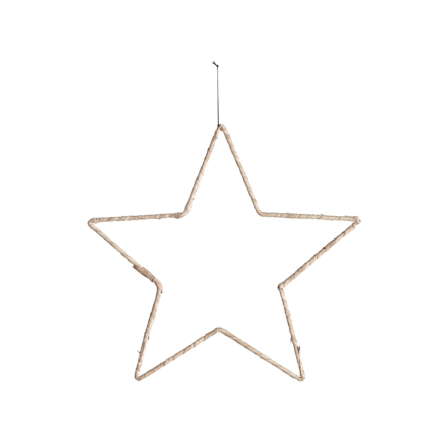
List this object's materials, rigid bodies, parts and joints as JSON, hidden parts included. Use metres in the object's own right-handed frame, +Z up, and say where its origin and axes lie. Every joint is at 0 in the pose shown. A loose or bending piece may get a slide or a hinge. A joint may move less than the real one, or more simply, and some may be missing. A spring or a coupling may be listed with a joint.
{
  "type": "bast star ornament",
  "caption": "Open five-pointed star bent from a rod that is wrapped in bast strips, hung on a thin black thread.",
  "frame": {"origin": "the middle of the knot at the thread's upper end, which the star hangs from", "axes": "+Z up along the hanging thread, +X across the star to the viewer's right, -Y out of its front"},
  "size_m": [0.3005, 0.0088, 0.352],
  "materials": {
    "bast": "dry matte plant fibre in overlapping turns, pale sand with pinkish and brownish strands",
    "thread": "black twisted thread with a slight sheen"
  },
  "bodies": {
    "root": {"bast_star": "bast", "front_strand": "thread", "back_strand": "thread", "thread_hitch": "thread", "hang_knot": "thread"}
  },
  "joints": []
}
